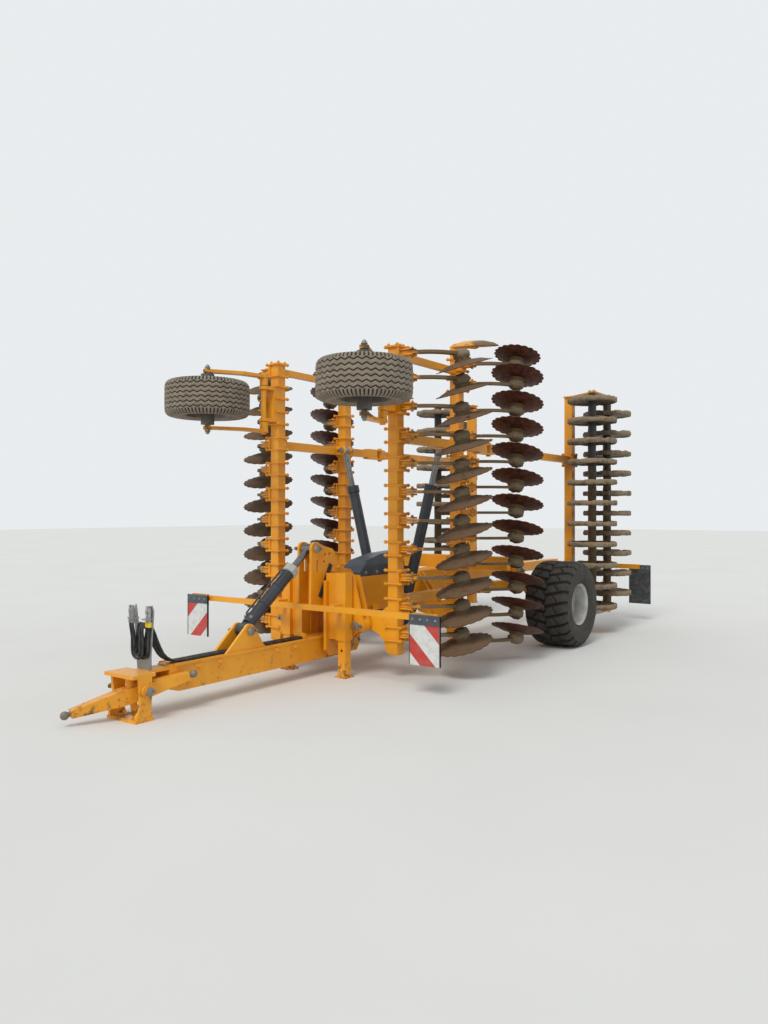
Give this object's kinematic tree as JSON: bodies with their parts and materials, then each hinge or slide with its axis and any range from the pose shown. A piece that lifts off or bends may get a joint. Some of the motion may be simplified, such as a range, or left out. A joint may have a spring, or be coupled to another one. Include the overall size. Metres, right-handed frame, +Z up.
{
  "type": "trailed compact disc harrow",
  "caption": "Trailed compact disc harrow with two wings folded upright, ring packer rollers, transport wheels and a hydraulic drawbar.",
  "frame": {"origin": "middle of the overall box at ground level", "axes": "+X to the machine's left, -Y forwards along the drawbar, +Z up"},
  "size_m": [2.96, 7.7259, 3.1999],
  "materials": {
    "black_paint": "gloss enamel",
    "board_sheet": "reflective sheet",
    "dark_plastic": "moulded",
    "disc_steel": "rusted steel with dried mud",
    "dusty_rubber": "rubber under dust",
    "galvanised": "galvanised",
    "hose_rubber": "hydraulic hose",
    "muddy_steel": "steel under dried mud",
    "orange_paint": "semi-gloss enamel, dusty",
    "pale_rim": "enamel",
    "road_rubber": "rubber",
    "rod_steel": "hard chrome, oiled",
    "steel_grey": "enamel under dust"
  },
  "bodies": {
    "chassis": {"main_frame": "orange_paint", "headstock": "orange_paint", "hood": "dark_plastic", "rear_boom": "orange_paint", "board_bar": "orange_paint", "warning_boards": "board_sheet"},
    "parking_leg_left": {"leg_left": "orange_paint"},
    "parking_leg_right": {"leg_right": "orange_paint"},
    "drawbar": {"drawbar": "orange_paint", "hitch_head": "orange_paint", "hose_rack": "galvanised", "hoses": "hose_rubber"},
    "hitch_crossbar": {"crossbar": "orange_paint"},
    "levelling_barrel": {"draft_barrel": "black_paint"},
    "levelling_rod": {"draft_rod": "rod_steel"},
    "fold_barrel_left": {"fold_barrel_left": "black_paint"},
    "fold_rod_left": {"fold_rod_left": "rod_steel"},
    "wing_left": {"wing_frame_left": "orange_paint", "front_arms_left": "orange_paint", "front_discs_left": "disc_steel", "rear_arms_left": "orange_paint", "rear_discs_left": "disc_steel"},
    "support_arm_left": {"gauge_arm_left": "orange_paint"},
    "support_wheel_left": {"gauge_rim_left": "steel_grey", "gauge_tyre_left": "dusty_rubber"},
    "roller_frame_left": {"roller_frame_left": "orange_paint"},
    "front_roller_left": {"front_roller_left": "muddy_steel"},
    "rear_roller_left": {"rear_roller_left": "muddy_steel"},
    "swing_arm_left": {"swing_arm_left": "orange_paint"},
    "road_wheel_left": {"road_rim_left": "pale_rim", "road_tyre_left": "road_rubber"},
    "fold_barrel_right": {"fold_barrel_right": "black_paint"},
    "fold_rod_right": {"fold_rod_right": "rod_steel"},
    "wing_right": {"wing_frame_right": "orange_paint", "front_arms_right": "orange_paint", "front_discs_right": "disc_steel", "rear_arms_right": "orange_paint", "rear_discs_right": "disc_steel"},
    "support_arm_right": {"gauge_arm_right": "orange_paint"},
    "support_wheel_right": {"gauge_rim_right": "steel_grey", "gauge_tyre_right": "dusty_rubber"},
    "roller_frame_right": {"roller_frame_right": "orange_paint"},
    "front_roller_right": {"front_roller_right": "muddy_steel"},
    "rear_roller_right": {"rear_roller_right": "muddy_steel"},
    "swing_arm_right": {"swing_arm_right": "orange_paint"},
    "road_wheel_right": {"road_rim_right": "pale_rim", "road_tyre_right": "road_rubber"}
  },
  "joints": [
    {"name": "wing_fold_left", "type": "hinge", "parent": "chassis", "child": "wing_left", "pos_m": [0.43, -1.167, 0.46], "axis": [0, 1, 0], "range_deg": [0, 90]},
    {"name": "fold_barrel_turn_left", "type": "hinge", "parent": "chassis", "child": "fold_barrel_left", "pos_m": [0.2, -0.247, 0.6], "axis": [0, 1, 0], "range_deg": [-2, 92]},
    {"name": "fold_rod_slide_left", "type": "slide", "parent": "fold_barrel_left", "child": "fold_rod_left", "axis": [0.2529, 0, 0.9675], "range_m": [-0.01, 0.4]},
    {"name": "support_arm_lift_left", "type": "hinge", "parent": "wing_left", "child": "support_arm_left", "pos_m": [0.714, -1.367, 2.52], "axis": [0, 0, 1], "range_deg": [-8, 8]},
    {"name": "support_wheel_spin_left", "type": "hinge", "parent": "support_arm_left", "child": "support_wheel_left", "pos_m": [0.92, -1.897, 2.52], "axis": [0, 0, 1], "continuous": true},
    {"name": "roller_depth_left", "type": "hinge", "parent": "wing_left", "child": "roller_frame_left", "pos_m": [0.714, 0.533, 2.13], "axis": [0, 0, -1], "range_deg": [-3, 2]},
    {"name": "front_roller_spin_left", "type": "hinge", "parent": "roller_frame_left", "child": "front_roller_left", "pos_m": [1.11, 2.433, 1.58], "axis": [0, 0, 1], "continuous": true},
    {"name": "rear_roller_spin_left", "type": "hinge", "parent": "roller_frame_left", "child": "rear_roller_left", "pos_m": [1.11, 2.933, 1.58], "axis": [0, 0, 1], "continuous": true},
    {"name": "wheel_lift_left", "type": "hinge", "parent": "chassis", "child": "swing_arm_left", "pos_m": [0.9, 0.803, 0.84], "axis": [-1, 0, 0], "range_deg": [0, 36]},
    {"name": "road_wheel_spin_left", "type": "hinge", "parent": "swing_arm_left", "child": "road_wheel_left", "pos_m": [1.19, 1.333, 0.465], "axis": [1, 0, 0], "continuous": true},
    {"name": "parking_leg_slide_left", "type": "slide", "parent": "chassis", "child": "parking_leg_left", "axis": [0, 0, 1], "range_m": [0, 0.3]},
    {"name": "wing_fold_right", "type": "hinge", "parent": "chassis", "child": "wing_right", "pos_m": [-0.43, -1.167, 0.46], "axis": [0, -1, 0], "range_deg": [0, 90]},
    {"name": "fold_barrel_turn_right", "type": "hinge", "parent": "chassis", "child": "fold_barrel_right", "pos_m": [-0.2, -0.247, 0.6], "axis": [0, -1, 0], "range_deg": [-2, 92]},
    {"name": "fold_rod_slide_right", "type": "slide", "parent": "fold_barrel_right", "child": "fold_rod_right", "axis": [-0.2529, 0, 0.9675], "range_m": [-0.01, 0.4]},
    {"name": "support_arm_lift_right", "type": "hinge", "parent": "wing_right", "child": "support_arm_right", "pos_m": [-0.714, -1.367, 2.52], "axis": [0, 0, -1], "range_deg": [-8, 8]},
    {"name": "support_wheel_spin_right", "type": "hinge", "parent": "support_arm_right", "child": "support_wheel_right", "pos_m": [-0.92, -1.897, 2.52], "axis": [0, 0, 1], "continuous": true},
    {"name": "roller_depth_right", "type": "hinge", "parent": "wing_right", "child": "roller_frame_right", "pos_m": [-0.714, 0.533, 2.13], "axis": [0, 0, 1], "range_deg": [-3, 2]},
    {"name": "front_roller_spin_right", "type": "hinge", "parent": "roller_frame_right", "child": "front_roller_right", "pos_m": [-1.11, 2.433, 1.58], "axis": [0, 0, 1], "continuous": true},
    {"name": "rear_roller_spin_right", "type": "hinge", "parent": "roller_frame_right", "child": "rear_roller_right", "pos_m": [-1.11, 2.933, 1.58], "axis": [0, 0, 1], "continuous": true},
    {"name": "wheel_lift_right", "type": "hinge", "parent": "chassis", "child": "swing_arm_right", "pos_m": [-0.9, 0.803, 0.84], "axis": [-1, 0, 0], "range_deg": [0, 36]},
    {"name": "road_wheel_spin_right", "type": "hinge", "parent": "swing_arm_right", "child": "road_wheel_right", "pos_m": [-1.19, 1.333, 0.465], "axis": [1, 0, 0], "continuous": true},
    {"name": "parking_leg_slide_right", "type": "slide", "parent": "chassis", "child": "parking_leg_right", "axis": [0, 0, 1], "range_m": [0, 0.3]},
    {"name": "drawbar_level", "type": "hinge", "parent": "chassis", "child": "drawbar", "pos_m": [0, -1.067, 0.27], "axis": [1, 0, 0], "range_deg": [-6, 8]},
    {"name": "levelling_barrel_turn", "type": "hinge", "parent": "drawbar", "child": "levelling_barrel", "pos_m": [0, -2.332, 0.5], "axis": [1, 0, 0], "range_deg": [-8, 8]},
    {"name": "levelling_rod_slide", "type": "slide", "parent": "levelling_barrel", "child": "levelling_rod", "axis": [0, 0.7843, 0.6204], "range_m": [-0.14, 0.14]},
    {"name": "crossbar_swivel", "type": "hinge", "parent": "drawbar", "child": "hitch_crossbar", "pos_m": [0, -3.417, 0.176], "axis": [0, -0.225, 0.9744], "range_deg": [-25, 0]}
  ],
  "couplings": [
    {"joint": "fold_barrel_turn_left", "follows": "wing_fold_left", "ratio": 0.94017},
    {"joint": "fold_rod_slide_left", "follows": "wing_fold_left", "m_per_rad": 0.21881},
    {"joint": "fold_barrel_turn_right", "follows": "wing_fold_right", "ratio": 0.94017},
    {"joint": "fold_rod_slide_right", "follows": "wing_fold_right", "m_per_rad": 0.21881},
    {"joint": "levelling_barrel_turn", "follows": "drawbar_level", "ratio": -0.18894},
    {"joint": "levelling_rod_slide", "follows": "drawbar_level", "m_per_rad": 0.96055}
  ]
}
